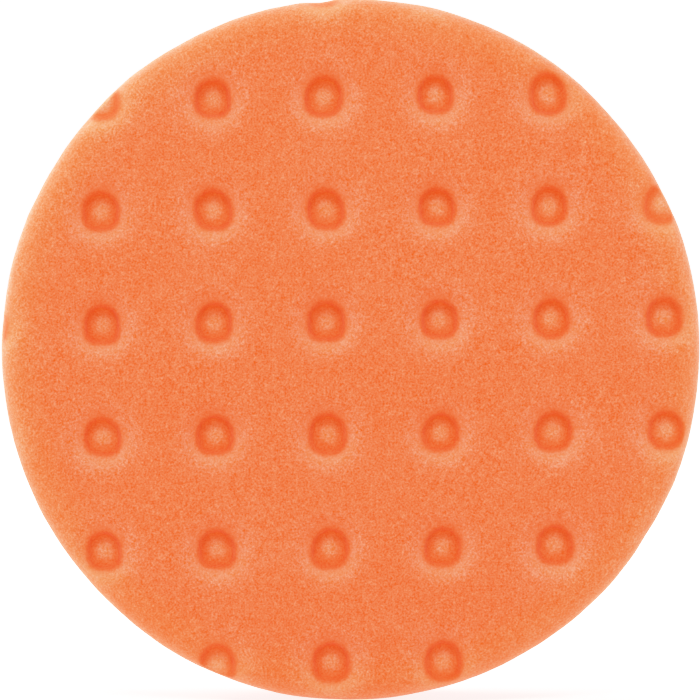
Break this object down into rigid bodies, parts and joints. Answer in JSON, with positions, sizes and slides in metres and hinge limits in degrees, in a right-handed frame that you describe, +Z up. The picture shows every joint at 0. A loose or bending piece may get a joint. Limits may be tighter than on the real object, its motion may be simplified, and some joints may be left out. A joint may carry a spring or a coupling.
{
  "type": "polishing pad",
  "caption": "Round foam polishing pad with a dimpled working face, rounded rim and bevelled back, bonded to a loop backing that grips a polisher's hook plate",
  "frame": {"origin": "Centre of the loop face, where the pad meets the polisher's backing plate", "axes": "+Y is the pad's axis and points out of the loop face towards the backing plate, so the dimpled working face points along -Y. +Z is up with the pad on edge, and +X is to the right when the working face is looked at."},
  "size_m": [0.165, 0.0318, 0.165],
  "materials": {
    "foam": "matte, open-celled",
    "adhesive": "satin",
    "backing_cloth": "knitted",
    "loops": "napped"
  },
  "bodies": {
    "root": {"foam_disc": "foam", "adhesive_film": "adhesive", "loop_ground": "backing_cloth", "loop_pile": "loops"}
  },
  "joints": []
}
